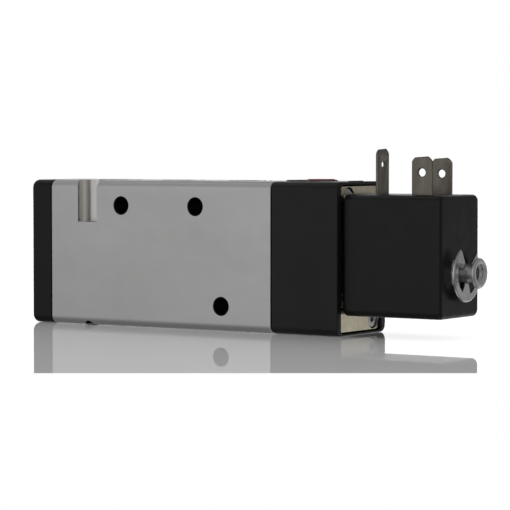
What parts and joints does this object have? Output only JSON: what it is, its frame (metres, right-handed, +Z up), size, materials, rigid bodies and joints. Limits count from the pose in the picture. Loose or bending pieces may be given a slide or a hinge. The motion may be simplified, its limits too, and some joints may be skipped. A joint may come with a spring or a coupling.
{
  "type": "solenoid directional valve",
  "caption": "In-line spool valve with a rectangular aluminium body, black end cap and pilot housing, and a solenoid coil with blade contacts.",
  "frame": {"origin": "centre of the valve body's bottom face", "axes": "+X along the valve from the end cap to the coil, +Z up towards the faces with three ports and the manual override, +Y to the back"},
  "size_m": [0.1434, 0.0264, 0.0514],
  "materials": {
    "anodised_aluminium": "bead-blasted, clear anodised",
    "black_moulding": "matte black glass-filled plastic",
    "coil_moulding": "satin black moulded plastic",
    "override_red": "smooth red plastic",
    "base_plate": "olive-beige passivated metal",
    "turned_steel": "turned stainless steel",
    "screw_steel": "zinc-plated steel",
    "spring_steel": "bright spring steel",
    "contact_metal": "tin-plated brass, stamped",
    "copper_wire": "enamelled copper wire",
    "seal_rubber": "black nitrile rubber",
    "inner_plastic": "natural acetal",
    "filter_bronze": "sintered bronze"
  },
  "bodies": {
    "valve": {"valve_body": "anodised_aluminium", "end_cap": "black_moulding", "end_cap_gasket": "seal_rubber", "end_cap_screw_upper": "screw_steel", "end_cap_screw_lower": "screw_steel", "return_spring": "spring_steel", "lip_seal_1": "seal_rubber", "lip_seal_2": "seal_rubber", "lip_seal_3": "seal_rubber", "lip_seal_4": "seal_rubber", "lip_seal_5": "seal_rubber", "lip_seal_6": "seal_rubber", "seal_spacer_1": "inner_plastic", "seal_spacer_2": "inner_plastic", "seal_spacer_3": "inner_plastic", "seal_spacer_4": "inner_plastic", "seal_spacer_5": "inner_plastic", "end_ring_left": "inner_plastic", "end_ring_right": "inner_plastic", "pilot_housing": "black_moulding", "housing_gasket": "seal_rubber", "filter_disc": "filter_bronze", "housing_screw_upper": "screw_steel", "housing_screw_lower": "screw_steel", "pilot_base": "base_plate", "pilot_base_gasket": "seal_rubber", "pilot_screw_upper": "screw_steel", "pilot_screw_lower": "screw_steel", "armature_tube": "turned_steel", "tube_o_ring": "seal_rubber", "fixed_core": "turned_steel", "plunger_spring": "spring_steel", "coil_seal_ring": "seal_rubber", "retaining_clip": "spring_steel"},
    "spool_set": {"spool": "anodised_aluminium", "pilot_piston": "inner_plastic", "piston_seal": "seal_rubber"},
    "armature": {"plunger": "turned_steel", "plunger_seat_seal": "seal_rubber", "plunger_exhaust_seal": "seal_rubber"},
    "override": {"manual_override": "override_red", "override_o_ring": "seal_rubber"},
    "coil": {"coil_housing": "coil_moulding", "yoke": "screw_steel", "bobbin": "inner_plastic", "winding": "copper_wire", "terminal_power_front": "contact_metal", "terminal_power_rear": "contact_metal", "terminal_ground": "contact_metal"}
  },
  "joints": [
    {"name": "spool_shift", "type": "slide", "parent": "valve", "child": "spool_set", "axis": [-1, 0, 0], "range_m": [0, 0.004], "stiffness_N_per_m": 3000, "springref_m": -0.004, "deforming": ["return_spring"]},
    {"name": "armature_lift", "type": "slide", "parent": "valve", "child": "armature", "axis": [1, 0, 0], "range_m": [0, 0.0008], "stiffness_N_per_m": 800, "springref_m": -0.002, "deforming": ["plunger_spring"]},
    {"name": "override_turn", "type": "hinge", "parent": "valve", "child": "override", "pos_m": [0.0468, 0, 0.0423], "axis": [0, 0, 1], "range_deg": [0, 90]},
    {"name": "coil_turn", "type": "hinge", "parent": "valve", "child": "coil", "pos_m": [0.06025, 0, 0.01795], "axis": [1, 0, 0], "range_deg": [-90, 90]}
  ]
}
